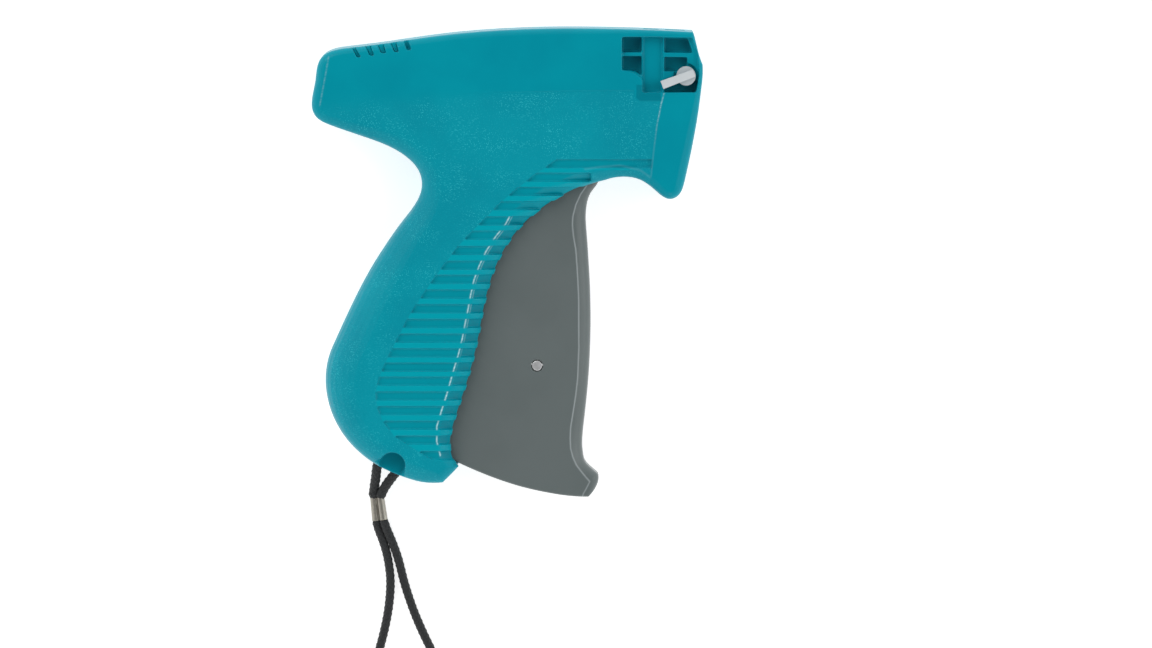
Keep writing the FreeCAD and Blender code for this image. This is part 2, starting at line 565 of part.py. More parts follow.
def build_spring():
    x0, x1 = -51.2, SLIDE_PIN_X - 14.2
    s = cyl(2.7, x1 - x0, (x0, 58.0, MID), (1, 0, 0)).cut(cyl(2.0, x1 - x0, (x0, 58.0, MID), (1, 0, 0)))
    hook = Part.makeTorus(2.0, 0.35, V(-54.5, 58.0, MID), V(0, 0, 1)).cut(box(-60, -54.6, 50, 70, 0, 24))
    hook = Part.makeTorus(1.75, 0.35, V(-54.5, 58.0, MID), V(0, 0, 1))
    s = s.fuse(cyl(2.7, 0.7, (x0, 58.0, MID), (1, 0, 0)))
    s = s.fuse(cyl(0.35, 2.3, (-52.75, 58.0, MID), (1, 0, 0))).fuse(hook)
    s = s.fuse(cyl(2.7, 0.7, (x1 - 0.7, 58.0, MID), (1, 0, 0)))
    s = s.fuse(cyl(0.35, 1.1, (x1 - 0.2, 58.0, MID), (1, 0, 0)))
    return s


def build_wheel():
    n = 12
    r0, r1 = 2.7, 3.7
    x0, x1 = CHAN_X[0] + 0.7, CHAN_X[1] - 0.7
    pts = []
    for i in range(n):
        a = 2 * math.pi * i / n
        for da, r in ((-0.17, r0), (-0.10, r1), (0.10, r1), (0.17, r0)):
            pts.append((WHEEL[0] + r * math.cos(a + da), WHEEL[1] + r * math.sin(a + da)))
    w = Part.makePolygon([V(x0, y, z) for y, z in pts] + [V(x0, pts[0][0], pts[0][1])])
    s = Part.Face(w).extrude(V(x1 - x0, 0, 0))
    return s.cut(cyl(1.25, 12, (40.0, WHEEL[0], WHEEL[1]), (1, 0, 0)))


def build_ratchet():
    n = 12
    r0, r1 = 2.5, 3.4
    x0, x1 = 50.2, 52.0
    pts = []
    for i in range(n):
        a = 2 * math.pi * i / n
        pts.append((WHEEL[0] + r1 * math.cos(a), WHEEL[1] + r1 * math.sin(a)))
        pts.append((WHEEL[0] + r0 * math.cos(a + 0.06), WHEEL[1] + r0 * math.sin(a + 0.06)))
    w = Part.makePolygon([V(x0, y, z) for y, z in pts] + [V(x0, pts[0][0], pts[0][1])])
    s = Part.Face(w).extrude(V(x1 - x0, 0, 0))
    return s.cut(cyl(1.25, 12, (45.0, WHEEL[0], WHEEL[1]), (1, 0, 0)))


def build_lever():
    """White needle lock lever: round head, raised arm and stem."""
    zt = THICK + 0.8
    s = cyl(3.05, zt - 0.7 - (THICK - 3.0), (LOCK[0], LOCK[1], THICK - 3.0))
    s = s.fuse(cyl(2.0, 8.0, (LOCK[0], LOCK[1], 15.4)))
    tip = (LOCK[0] - 7.3, LOCK[1] - 2.75)
    d = V(tip[0] - LOCK[0], tip[1] - LOCK[1], 0)
    d.normalize()
    n = V(-d.y, d.x, 0)
    a = V(LOCK[0], LOCK[1], 0) - d * 2.7
    b = V(tip[0], tip[1], 0) + d * 0.4
    w0, w1 = 1.15, 1.35
    pts = [a + n * w0, b + n * w1, b - n * w1, a - n * w0]
    arm = prism([(p.x, p.y) for p in pts], THICK - 1.3, zt)
    arm = arm.fuse(prism([(p.x, p.y) for p in pts], THICK - 1.3, zt - 0.5))
    s = s.fuse(arm)
    # eccentric cam at the stem's foot
    s = s.fuse(cyl(1.9, 1.4, (LOCK[0] + 0.5, LOCK[1], 15.2)))
    return s.removeSplitter()


def build_needle_seat():
    s = box(49.0, 58.9, 57.6, 66.4, 9.0, 15.0)
    s = s.fuse(cyl(2.9, 3.6, (57.9, ROD_Y, MID), (1, 0, 0)))
    s = s.cut(cyl(1.7, 10.0, (51.6, ROD_Y, MID), (1, 0, 0)))
    s = s.cut(cyl(1.1, 8.0, (48.0, ROD_Y, MID), (1, 0, 0)))
    return s


def build_rod_guide():
    s = box(35.0, 42.8, 57.6, 66.4, 9.0, 15.0)
    s = s.cut(cyl(0.8 + RUN, 12.0, (33.0, ROD_Y, MID), (1, 0, 0)))
    s = s.cut(Part.makeCone(2.2, 0.85, 2.6, V(34.99, ROD_Y, MID), V(1, 0, 0)))
    return s


def build_clip_guide():
    s = box(CHAN_X[0] - 1.2, CHAN_X[1] + 1.2, 30.5, 56.8, 7.8, 13.2)
    return s.cut(box(CHAN_X[0], CHAN_X[1], 30.0, 57.0, CHAN_Z[0], 14.0))


def build_knife():
    s = prism([(49.0 - 0.55, 57.0), (49.0 - 0.1, 57.0), (49.0 - 0.1, 60.6), (49.0 - 0.35, 61.0)], 9.6, 14.4)
    return s


def build_index_arm():
    """Feed index arm: a steel strip over the ratchet wheel."""
    s = bar(ARM, (51.1, 43.2), 1.4, 21.25, 21.85)
    s = s.fuse(cyl(2.0, 0.6, (ARM[0], ARM[1], 21.25)))
    return s.cut(cyl(1.0 + RUN, 4, (ARM[0], ARM[1], 20)))


def build_arm_pin():
    return cyl(1.0, 2.2, (ARM[0], ARM[1], 21.0)).fuse(cyl(1.7, 0.8, (ARM[0], ARM[1], 20.2)))


def build_pawl():
    """Leaf that holds the ratchet; its tip stands just off the teeth."""
    return box(50.4, 51.8, 47.8, 56.4, 16.2, 16.8)


def build_bump_stop():
    s = box(13.1, 16.1, 57.4, 65.1, 8.2, 15.8)
    return s.cut(cyl(1.3, 6, (12.0, ROD_Y, MID), (1, 0, 0)))


# ------------------------------------------------------------ lanyard
def tube(pts, dia, label):
    """Round tube on straight runs joined by tangent arcs."""
    P = [V(*p) for p in pts]
    n = len(P)
    runs = [(P[i + 1] - P[i]).Length for i in range(n - 1)]
    edges = []
    last = P[0]
    radii = []
    for i in range(1, n - 1):
        a = (P[i - 1] - P[i])
        b = (P[i + 1] - P[i])
        a.normalize()
        b.normalize()
        ang = math.pi - a.getAngle(b)
        cut = 0.45 * min(runs[i - 1], runs[i])
        r = cut / math.tan(ang / 2.0)
        radii.append((round(r, 1), round(math.degrees(ang), 1)))
        p0 = P[i] + a * cut
        p1 = P[i] + b * cut
        bis = a + b
        bis.normalize()
        c = P[i] + bis * math.hypot(r, cut)
        mid = c + (P[i] - c).normalize() * r
        if (p0 - last).Length > 1e-6:
            edges.append(Part.LineSegment(last, p0).toShape())
        edges.append(Part.Arc(p0, mid, p1).toShape())
        last = p1
    edges.append(Part.LineSegment(last, P[-1]).toShape())
    w = Part.Wire(edges)
    d = P[1] - P[0]
    d.normalize()
    prof = Part.Wire([Part.Circle(P[0], d, dia / 2.0).toShape()])
    s = w.makePipeShell([prof], True, False, 2)
    want = math.pi * dia * dia / 4 * w.Length
    print(label, "length %.1f volume %.1f of %.1f" % (w.Length, s.Volume, want))
    print(label, "radius, turn:", radii, "runs:", [round(r, 1) for r in runs])
    return s


F0 = (-42.80, -76.40)    # ferrule mouth nearest the handle, left and right barrels
F1 = (-40.83, -76.30)
FE0 = (-42.14, -84.00)   # ferrule far end
FE1 = (-39.69, -83.60)
FZ0, FZ1 = 2.10, 3.40    # heights of the two barrels
FERRULE_R = 1.30         # crimped barrel radius
UPPER = [(-42.80, -76.40, 2.10), (-42.85, -73.60, 2.90), (-42.20, -70.20, 4.90), (-41.90, -67.00, 6.80),
         (-41.20, -63.90, 7.80), (-40.30, -61.10, 8.00), (-37.90, -59.80, 8.00), (-35.20, -60.60, 8.00),
         (-33.95, -63.10, 8.00), (-34.50, -66.20, 7.80), (-36.30, -68.80, 6.80), (-38.20, -71.30, 5.40),
         (-39.90, -73.90, 4.10), (-40.83, -76.30, 3.40)]
LOWER = [(-42.14, -84.00, 2.10), (-41.50, -86.70, 1.90), (-40.10, -90.00, 1.55), (-38.30, -96.00, 1.45),
         (-37.30, -105.0, 1.45), (-38.90, -117.5, 1.45), (-43.5, -133.5, 1.45), (-50.6, -152.0, 1.45),
         (-54.0, -172.0, 1.45), (-50.8, -190.0, 1.45), (-38.5, -201.2, 1.45), (-22.6, -202.0, 1.45),
         (-10.6, -191.2, 1.45), (-7.4, -173.5, 1.45), (-12.4, -153.5, 1.45), (-20.3, -134.0, 1.45),
         (-28.6, -117.5, 1.45), (-33.0, -105.0, 1.45), (-34.9, -96.6, 1.60), (-37.2, -90.2, 2.20),
         (-38.9, -86.3, 3.00), (-39.69, -83.60, 3.40)]


def build_ferrule():
    """Two crimped barrels side by side, joined by the folded web."""
    out = None
    for a, b, z in ((F0, FE0, FZ0), (F1, FE1, FZ1)):
        d = V(b[0] - a[0], b[1] - a[1], 0)
        k = cyl(FERRULE_R, d.Length, (a[0], a[1], z), (d.x, d.y, 0))
        out = k if out is None else out.fuse(k)
    c = [V(p[0], p[1], z) for p, z in ((F0, FZ0), (F1, FZ1), (FE1, FZ1), (FE0, FZ0))]
    ax = (c[3] - c[0] + c[2] - c[1])
    ax.normalize()
    side = c[1] - c[0]
    n = ax.cross(side)
    n.normalize()
    w = Part.makePolygon([c[0] + n * 0.45 + ax * 0.3, c[1] + n * 0.45 + ax * 0.3,
                          c[1] - n * 0.45 + ax * 0.3, c[0] - n * 0.45 + ax * 0.3, c[0] + n * 0.45 + ax * 0.3])
    web = Part.Face(w).extrude(ax * (c[3] - c[0]).dot(ax) * 0.93)
    return out.fuse(web).removeSplitter()


# ------------------------------------------------------------ everything
def main():
    right, left = build_casings()
    save("right_casing", right)
    save("left_casing", left)
    save("trigger", build_trigger())
    save("link_pin", cyl(1.9, TRIG_Z[1] - TRIG_Z[0], (LINKPIN[0], LINKPIN[1], TRIG_Z[0])))
    save("trigger_pivot_pin", cyl(1.5, THICK - 4.0, (PIVOT[0], PIVOT[1], 2.0)))
    save("crank_pivot_pin", cyl(1.5, 18.0, (CRANK[0], CRANK[1], 3.0)))
    save("drive_crank", build_crank())
    save("crank_link_pin", cyl(1.5, 6.4, (KNEE[0], KNEE[1], 10.2)))
    save("drive_link", build_link())
    save("ejector_slide", build_slide())
    save("slide_cross_pin", cyl(1.5, 7.0, (SLIDE_PIN_X, SLIDE_PIN_Y, 8.5)))
    save("ejector_rod", cyl(0.8, 41.0 - (SLIDE_PIN_X + 3.0), (SLIDE_PIN_X + 3.0, ROD_Y, MID), (1, 0, 0)))
    save("return_spring", build_spring())
    save("spring_anchor_pin", cyl(1.25, 16.0, (-54.5, 58.0, 4.0)))
    save("rod_guide", build_rod_guide())
    save("needle_seat", build_needle_seat())
    save("clip_guide", build_clip_guide())
    save("knife_blade", build_knife())
    save("feed_wheel", build_wheel())
    save("feed_shaft", cyl(1.25, 15.6, (40.2, WHEEL[0], WHEEL[1]), (1, 0, 0)))
    save("ratchet_wheel", build_ratchet())
    save("index_arm", build_index_arm())
    save("index_arm_pin", build_arm_pin())
    save("bump_stop", build_bump_stop())
    save("lock_lever_washer", cyl(2.9, 0.3, (LOCK[0], LOCK[1], 20.65)).cut(cyl(2.12, 1, (LOCK[0], LOCK[1], 20.2))))
    save("holding_pawl", build_pawl())
    save("needle_lock_lever", build_lever())
    save("lanyard_post", cyl(1.75, 12.6, (POST[0], POST[1], 3.0)))
    save("lanyard_anchor_cord", tube(UPPER, CORD_LOOSE, "anchor cord"))
    save("lanyard_wrist_cord", tube(LOWER, CORD_D, "wrist cord"))
    save("lanyard_ferrule", build_ferrule())


main()
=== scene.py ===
import json
import math

import bmesh
import bpy
import numpy as np
from mathutils import Matrix, Vector


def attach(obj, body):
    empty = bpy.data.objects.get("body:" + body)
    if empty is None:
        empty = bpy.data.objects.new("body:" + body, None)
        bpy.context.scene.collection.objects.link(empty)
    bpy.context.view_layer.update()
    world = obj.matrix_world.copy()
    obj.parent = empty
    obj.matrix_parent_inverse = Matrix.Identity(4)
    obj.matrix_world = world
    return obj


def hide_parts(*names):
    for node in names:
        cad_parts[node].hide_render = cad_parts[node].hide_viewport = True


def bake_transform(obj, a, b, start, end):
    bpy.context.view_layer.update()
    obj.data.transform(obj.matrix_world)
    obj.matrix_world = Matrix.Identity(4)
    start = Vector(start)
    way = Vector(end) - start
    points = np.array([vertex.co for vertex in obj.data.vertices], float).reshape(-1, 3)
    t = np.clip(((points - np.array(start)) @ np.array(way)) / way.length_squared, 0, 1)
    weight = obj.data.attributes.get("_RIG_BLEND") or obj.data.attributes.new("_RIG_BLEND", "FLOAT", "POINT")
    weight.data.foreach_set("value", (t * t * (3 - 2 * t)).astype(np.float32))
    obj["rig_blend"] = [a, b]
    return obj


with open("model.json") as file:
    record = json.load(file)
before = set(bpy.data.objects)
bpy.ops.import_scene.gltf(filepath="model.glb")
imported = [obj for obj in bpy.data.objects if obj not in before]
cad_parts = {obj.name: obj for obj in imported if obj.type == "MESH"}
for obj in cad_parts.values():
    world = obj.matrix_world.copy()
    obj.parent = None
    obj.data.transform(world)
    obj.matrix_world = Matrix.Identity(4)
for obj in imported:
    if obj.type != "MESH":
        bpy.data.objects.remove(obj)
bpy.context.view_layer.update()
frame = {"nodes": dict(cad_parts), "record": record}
MM = 0.001
SC = bpy.context.scene


# ------------------------------------------------------------ small tools
def link(o):
    SC.collection.objects.link(o)
    return o


def mesh_object(name, verts, faces, smooth=True):
    me = bpy.data.meshes.new(name)
    me.from_pydata([tuple(float(c) for c in v) for v in verts], [], [tuple(int(i) for i in f) for f in faces])
    me.validate()
    me.update()
    o = link(bpy.data.objects.new(name, me))
    me.polygons.foreach_set("use_smooth", [smooth] * len(me.polygons))
    return o


def apply_modifiers(o):
    dg = bpy.context.evaluated_depsgraph_get()
    me = bpy.data.meshes.new_from_object(o.evaluated_get(dg))
    o.modifiers.clear()
    old = o.data
    o.data = me
    if old.users == 0:
        bpy.data.meshes.remove(old)
    return o


def soften(node_name, name, voxel, rounds):
    """Moulded copy of a solid: an even mesh with small natural edge radii."""
    o = link(bpy.data.objects.new(name, frame["nodes"][node_name].data.copy()))
    me = o.data
    me.materials.clear()
    bm = bmesh.new()
    bm.from_mesh(me)
    bmesh.ops.remove_doubles(bm, verts=bm.verts, dist=1e-6)
    bm.to_mesh(me)
    bm.free()
    for a in [a for a in me.attributes if a.name in ("custom_normal", "sharp_edge", "sharp_face")]:
        me.attributes.remove(a)
    m = o.modifiers.new("remesh", "REMESH")
    m.mode = "VOXEL"
    m.voxel_size = voxel * MM
    m.adaptivity = 0.0
    if rounds:
        s = o.modifiers.new("smooth", "SMOOTH")
        s.factor = 0.5
        s.iterations = rounds
    apply_modifiers(o)
    o.data.polygons.foreach_set("use_smooth", [True] * len(o.data.polygons))
    return o


def coords(o):
    co = np.empty(len(o.data.vertices) * 3, np.float32)
    o.data.vertices.foreach_get("co", co)
    return co.reshape(-1, 3).astype(float) * 1000.0


def normals(o):
    n = np.empty(len(o.data.vertices) * 3, np.float32)
    o.data.vertices.foreach_get("normal", n)
    return n.reshape(-1, 3).astype(float)


def set_coords(o, co):
    o.data.vertices.foreach_set("co", (co / 1000.0).astype(np.float32).ravel())
    o.data.update()


def point_attribute(o, name, values):
    a = o.data.attributes.get(name) or o.data.attributes.new(name, "FLOAT", "POINT")
    a.data.foreach_set("value", np.asarray(values, np.float32))


def sstep(a, b, x):
    t = np.clip((x - a) / (b - a), 0, 1)
    return t * t * (3 - 2 * t)


def px(x, y):
    return ((x - 507.0) * 0.318, (263.0 - y) * 0.318)


def pxs(pts):
    return [px(*p) for p in pts]


def chain_distance(x, y, pts):
    """Distance to an open chain of points (mm), and the place along it, 0 to 1."""
    best = np.full(x.shape, 1e9)
    where = np.zeros(x.shape)
    n = len(pts) - 1
    for i in range(n):
        (x0, y0), (x1, y1) = pts[i], pts[i + 1]
        dx, dy = x1 - x0, y1 - y0
        t = np.clip(((x - x0) * dx + (y - y0) * dy) / (dx * dx + dy * dy), 0, 1)
        d = np.hypot(x - (x0 + t * dx), y - (y0 + t * dy))
        m = d < best
        best = np.where(m, d, best)
        where = np.where(m, (i + t) / n, where)
    return best, where


def inside(x, y, poly):
    """True where a point is in the polygon."""
    c = np.zeros(x.shape, bool)
    n = len(poly)
    for i in range(n):
        (x0, y0), (x1, y1) = poly[i], poly[(i + 1) % n]
        if y0 == y1:
            continue
        m = ((y0 > y) != (y1 > y)) & (x < (x1 - x0) * (y - y0) / (y1 - y0) + x0)
        c ^= m
    return c


def signed(x, y, poly):
    """Distance to the polygon's edge, positive inside."""
    d, _ = chain_distance(x, y, list(poly) + [poly[0]])
    return np.where(inside(x, y, poly), d, -d)


# ------------------------------------------------------------ camera
def make_camera():
    cam = bpy.data.cameras.new("camera")
    o = link(bpy.data.objects.new("camera", cam))
    tilt = math.radians(3.6)
    tx, ty = px(576, 324)
    target = Vector((tx * MM, ty * MM, 0.024))
    dist = 3.0
    back = Vector((0.0, math.sin(tilt), math.cos(tilt)))
    right = Vector((1.0, 0.0, 0.0))
    up = back.cross(right)
    o.matrix_world = Matrix.Translation(target + back * dist) @ Matrix(
        ((right.x, up.x, back.x), (right.y, up.y, back.y), (right.z, up.z, back.z))).to_4x4()
    cam.sensor_width = 36.0
    cam.lens = 36.0 * dist / (1152 * 0.318 * MM)
    cam.clip_start, cam.clip_end = 0.05, 20.0
    SC.camera = o


make_camera()


# ------------------------------------------------------------ materials
def srgb(r, g, b):
    def f(c):
        c /= 255.0
        return c / 12.92 if c <= 0.04045 else ((c + 0.055) / 1.055) ** 2.4
    return (f(r), f(g), f(b))


class Mat:
    """Small builder round one Principled material."""

    def __init__(self, name):
        self.m = bpy.data.materials.new(name)
        self.m.use_nodes = True
        self.nt = self.m.node_tree
        self.nt.nodes.clear()
        out = self.nt.nodes.new("ShaderNodeOutputMaterial")
        self.b = self.nt.nodes.new("ShaderNodeBsdfPrincipled")
        self.nt.links.new(self.b.outputs[0], out.inputs[0])
        self.vec = self.new("ShaderNodeTexCoord").outputs["Object"]
        self.last = None

    def new(self, kind, **kw):
        n = self.nt.nodes.new(kind)
        for k, v in kw.items():
            setattr(n, k, v)
        return n

    def put(self, sock, v):
        if isinstance(v, bpy.types.NodeSocket):
            self.nt.links.new(v, sock)
        elif isinstance(v, tuple) and len(v) == 3 and len(sock.default_value) == 4:
            sock.default_value = (*v, 1.0)
        else:
            sock.default_value = v

    def noise(self, scale, detail=2.0, rough=0.5, vec=None, distort=0.0):
        n = self.new("ShaderNodeTexNoise")
        n.inputs["Scale"].default_value = scale
        n.inputs["Detail"].default_value = detail
        n.inputs["Roughness"].default_value = rough
        n.inputs["Distortion"].default_value = distort
        self.nt.links.new(vec or self.vec, n.inputs["Vector"])
        return n.outputs["Fac"]

    def voronoi(self, scale, feature="F1", vec=None):
        n = self.new("ShaderNodeTexVoronoi", feature=feature)
        n.inputs["Scale"].default_value = scale
        self.nt.links.new(vec or self.vec, n.inputs["Vector"])
        return n

    def ramp(self, v, a, b, lo=0.0, hi=1.0):
        n = self.new("ShaderNodeMapRange", interpolation_type="SMOOTHSTEP")
        for k, x in (("From Min", a), ("From Max", b), ("To Min", lo), ("To Max", hi)):
            n.inputs[k].default_value = x
        self.nt.links.new(v, n.inputs["Value"])
        return n.outputs["Result"]

    def op(self, kind, a, b=0.0, clamp=False):
        n = self.new("ShaderNodeMath", operation=kind)
        n.use_clamp = clamp
        self.put(n.inputs[0], a)
        self.put(n.inputs[1], b)
        return n.outputs[0]

    def mix(self, f, a, b):
        n = self.new("ShaderNodeMix", data_type="RGBA")
        self.put(n.inputs["Factor"], f)
        self.put(n.inputs[6], a)
        self.put(n.inputs[7], b)
        return n.outputs[2]

    def attr(self, name):
        return self.new("ShaderNodeAttribute", attribute_name=name).outputs["Fac"]

    def bump(self, h, strength, dist):
        n = self.new("ShaderNodeBump")
        n.inputs["Strength"].default_value = strength
        n.inputs["Distance"].default_value = dist
        self.nt.links.new(h, n.inputs["Height"])
        if self.last is not None:
            self.nt.links.new(self.last, n.inputs["Normal"])
        self.last = n.outputs["Normal"]
        self.nt.links.new(self.last, self.b.inputs["Normal"])

    def set(self, key, v):
        self.put(self.b.inputs[key], v)


def teal_material():
    """Moulded teal ABS: grain with painted glints, smooth panels, painted highlights along the crease lines, painted
    light and shade on the relief.
    """
    m = Mat("casing_teal")
    grain, painted_highlight, painted_light_shade = m.attr("grain"), m.attr("painted_highlight"), m.attr("painted_light_shade")
    big = m.noise(38.0, 3.0, 0.55)
    col = m.mix(m.ramp(big, 0.35, 0.65), srgb(0, 144, 163), srgb(0, 150, 168))
    # painted light and shade: darker where the attribute is below the middle, lighter above it
    col = m.mix(m.ramp(painted_light_shade, 0.5, 0.0), col, srgb(0, 128, 146))
    col = m.mix(m.ramp(painted_light_shade, 0.5, 1.0), col, srgb(0, 162, 178))
    # painted glints: tiny bright specks where light would catch facets of the moulded grain, in drifts
    v = m.voronoi(3100.0)
    dot = m.ramp(v.outputs["Distance"], 0.50, 0.20)
    sel = m.new("ShaderNodeSeparateColor")
    m.nt.links.new(v.outputs["Color"], sel.inputs[0])
    pick = m.ramp(sel.outputs[0], 0.50, 0.94)
    drift = m.ramp(m.noise(85.0, 4.0, 0.65), 0.42, 0.62, 0.16, 1.0)
    painted_glint = m.op("MULTIPLY", m.op("MULTIPLY", dot, pick), m.op("MULTIPLY", drift, grain))
    fleck = m.ramp(m.noise(2300.0, 2.0, 0.6), 0.50, 0.70)
    soft = m.op("MULTIPLY", fleck, m.ramp(m.noise(150.0, 3.0, 0.6), 0.35, 0.65, 0.25, 1.0))
    col = m.mix(m.op("MULTIPLY", m.op("MULTIPLY", soft, grain), 0.26), col, srgb(2, 168, 183))
    col = m.mix(m.op("MULTIPLY", painted_glint, 0.78, True), col, srgb(66, 212, 220))
    # painted highlights: near-white along the crease lines and edge lines, which are also made a little glossier
    # below
    col = m.mix(m.op("MULTIPLY", painted_highlight, 1.0, True), col, srgb(206, 246, 250))
    m.set("Base Color", col)
    m.b.inputs["Specular IOR Level"].default_value = 0.11
    r = m.op("ADD", m.op("MULTIPLY", grain, 0.16), 0.26)
    r = m.op("ADD", r, m.op("MULTIPLY", big, 0.05))
    m.set("Roughness", m.op("SUBTRACT", r, m.op("MULTIPLY", painted_highlight, 0.10), True))
    pit = m.voronoi(1500.0)
    h = m.op("ADD", m.op("MULTIPLY", pit.outputs["Distance"], 0.6), m.noise(1500.0, 3.0, 0.65))
    m.bump(m.op("MULTIPLY", h, grain), 0.6, 0.00010)
    m.bump(m.noise(240.0, 2.0, 0.5), 0.08, 0.00010)
    return m.m


def trigger_material():
    m = Mat("trigger_grey")
    painted_highlight = m.attr("painted_highlight")
    big = m.noise(45.0, 3.0, 0.5)
    col = m.mix(m.ramp(big, 0.3, 0.7), srgb(98, 107, 107), srgb(102, 111, 111))
    scuff = m.ramp(m.noise(420.0, 4.0, 0.75), 0.66, 0.80)
    col = m.mix(m.op("MULTIPLY", scuff, 0.35), col, srgb(112, 121, 123))
    # painted highlight: lighter grey along the front crease and the toe crease
    col = m.mix(m.op("MULTIPLY", painted_highlight, 1.0, True), col, srgb(172, 180, 182))
    m.set("Base Color", col)
    m.b.inputs["Specular IOR Level"].default_value = 0.35
    m.set("Roughness", m.op("ADD", m.op("MULTIPLY", m.noise(300.0, 3.0, 0.6), 0.12), 0.26))
    m.bump(m.noise(900.0, 3.0, 0.6), 0.12, 0.00006)
    m.bump(m.noise(60.0, 2.0, 0.5), 0.08, 0.0004)
    return m.m


def plain_plastic(name, a, b, rough, grain=0.1, spec=0.4, scale=700.0):
    m = Mat(name)
    big = m.noise(80.0, 3.0, 0.55)
    m.set("Base Color", m.mix(m.ramp(big, 0.35, 0.65), a, b))
    m.b.inputs["Specular IOR Level"].default_value = spec
    m.set("Roughness", m.op("ADD", m.op("MULTIPLY", m.noise(scale * 0.6, 3.0, 0.6), 0.12), rough - 0.06))
    m.bump(m.noise(scale, 3.0, 0.6), grain, 0.00008)
    return m.m


def metal(name, a, b, rough, stretch=(1.0, 1.0, 1.0), scale=900.0, amount=0.12, painted_split_shade=False):
    m = Mat(name)
    mp = m.new("ShaderNodeMapping")
    mp.inputs["Scale"].default_value = stretch
    m.nt.links.new(m.vec, mp.inputs["Vector"])
    n = m.noise(scale, 3.0, 0.6, mp.outputs[0])
    col = m.mix(n, a, b)
    if painted_split_shade:
        # painted shade: darker along the split between the two barrels
        col = m.mix(m.attr("deep"), col, srgb(66, 62, 54))
    m.set("Base Color", col)
    m.b.inputs["Metallic"].default_value = 1.0
    m.set("Roughness", m.op("ADD", m.op("MULTIPLY", n, 0.2), rough))
    m.bump(n, amount, 0.00005)
    return m.m


def lever_material():
    m = Mat("lever_white")
    painted_highlight = m.attr("painted_highlight")
    col = m.mix(m.ramp(m.noise(160.0, 3.0, 0.5), 0.35, 0.65), srgb(176, 185, 190), srgb(186, 194, 198))
    # painted highlight: the top face of the raised arm lighter than the knob
    col = m.mix(m.op("MULTIPLY", painted_highlight, 0.9, True), col, srgb(232, 236, 238))
    m.set("Base Color", col)
    m.b.inputs["Specular IOR Level"].default_value = 0.5
    m.set("Roughness", m.op("ADD", m.op("MULTIPLY", m.noise(700.0, 2.0, 0.5), 0.12), 0.28))
    m.bump(m.noise(900.0, 3.0, 0.6), 0.08, 0.00006)
    return m.m


def cord_material():
    m = Mat("cord_black")
    fibre = m.noise(3200.0, 3.0, 0.7)
    deep = m.attr("deep")
    col = m.mix(m.ramp(fibre, 0.3, 0.75), srgb(27, 29, 30), srgb(56, 58, 59))
    # painted shade: darker in the hollows between the braid's strands, where the strand height is low
    col = m.mix(m.ramp(deep, 0.55, 0.0), col, srgb(13, 14, 15))
    m.set("Base Color", col)
    m.set("Roughness", m.op("ADD", m.op("MULTIPLY", fibre, 0.2), 0.6))
    m.b.inputs["Sheen Weight"].default_value = 0.12
    m.b.inputs["Sheen Roughness"].default_value = 0.5
    m.b.inputs["Specular IOR Level"].default_value = 0.3
    m.bump(fibre, 0.5, 0.00006)
    return m.m


MAT = {
    "casing_teal": teal_material(),
    "trigger_grey": trigger_material(),
    "steel_pin": metal("steel_pin", srgb(196, 197, 198), srgb(216, 217, 218), 0.42),
    "steel_blade": metal("steel_blade", srgb(178, 180, 182), srgb(205, 206, 208), 0.20, (1.0, 0.2, 1.0)),
    "acetal_white": plain_plastic("acetal_white", srgb(222, 222, 216), srgb(230, 230, 226), 0.42),
    "acetal_black": plain_plastic("acetal_black", srgb(38, 38, 39), srgb(46, 46, 47), 0.42),
    "lever_white": lever_material(),
    "rubber_stop": plain_plastic("rubber_stop", srgb(30, 30, 30), srgb(38, 38, 38), 0.75, 0.3, 0.3),
    "ferrule_metal": metal("ferrule_metal", srgb(152, 148, 138), srgb(180, 176, 166), 0.34, (1.0, 0.12, 1.0), 1500.0, 0.3, True),
    "cord_black": cord_material(),
}
SLOTS = {s["node"]: s["material_slot"] for s in frame["record"]["subparts"]}
for n, o in frame["nodes"].items():
    o.data.materials.clear()
    o.data.materials.append(MAT[SLOTS[n]])


def finish_piece(o, slot, body, *nodes):
    o.data.materials.clear()
    o.data.materials.append(MAT[slot])
    if nodes:
        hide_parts(*nodes)
    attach(o, body)
    return o


# ------------------------------------------------------------ lanyard
UPPER = [(-42.80, -76.40, 2.10), (-42.85, -73.60, 2.90), (-42.20, -70.20, 4.90), (-41.90, -67.00, 6.80),
         (-41.20, -63.90, 7.80), (-40.30, -61.10, 8.00), (-37.90, -59.80, 8.00), (-35.20, -60.60, 8.00),
         (-33.95, -63.10, 8.00), (-34.50, -66.20, 7.80), (-36.30, -68.80, 6.80), (-38.20, -71.30, 5.40),
         (-39.90, -73.90, 4.10), (-40.83, -76.30, 3.40)]
LOWER = [(-42.14, -84.00, 2.10), (-41.50, -86.70, 1.90), (-40.10, -90.00, 1.55), (-38.30, -96.00, 1.45),
         (-37.30, -105.0, 1.45), (-38.90, -117.5, 1.45), (-43.5, -133.5, 1.45), (-50.6, -152.0, 1.45),
         (-54.0, -172.0, 1.45), (-50.8, -190.0, 1.45), (-38.5, -201.2, 1.45), (-22.6, -202.0, 1.45),
         (-10.6, -191.2, 1.45), (-7.4, -173.5, 1.45), (-12.4, -153.5, 1.45), (-20.3, -134.0, 1.45),
         (-28.6, -117.5, 1.45), (-33.0, -105.0, 1.45), (-34.9, -96.6, 1.60), (-37.2, -90.2, 2.20),
         (-38.9, -86.3, 3.00), (-39.69, -83.60, 3.40)]


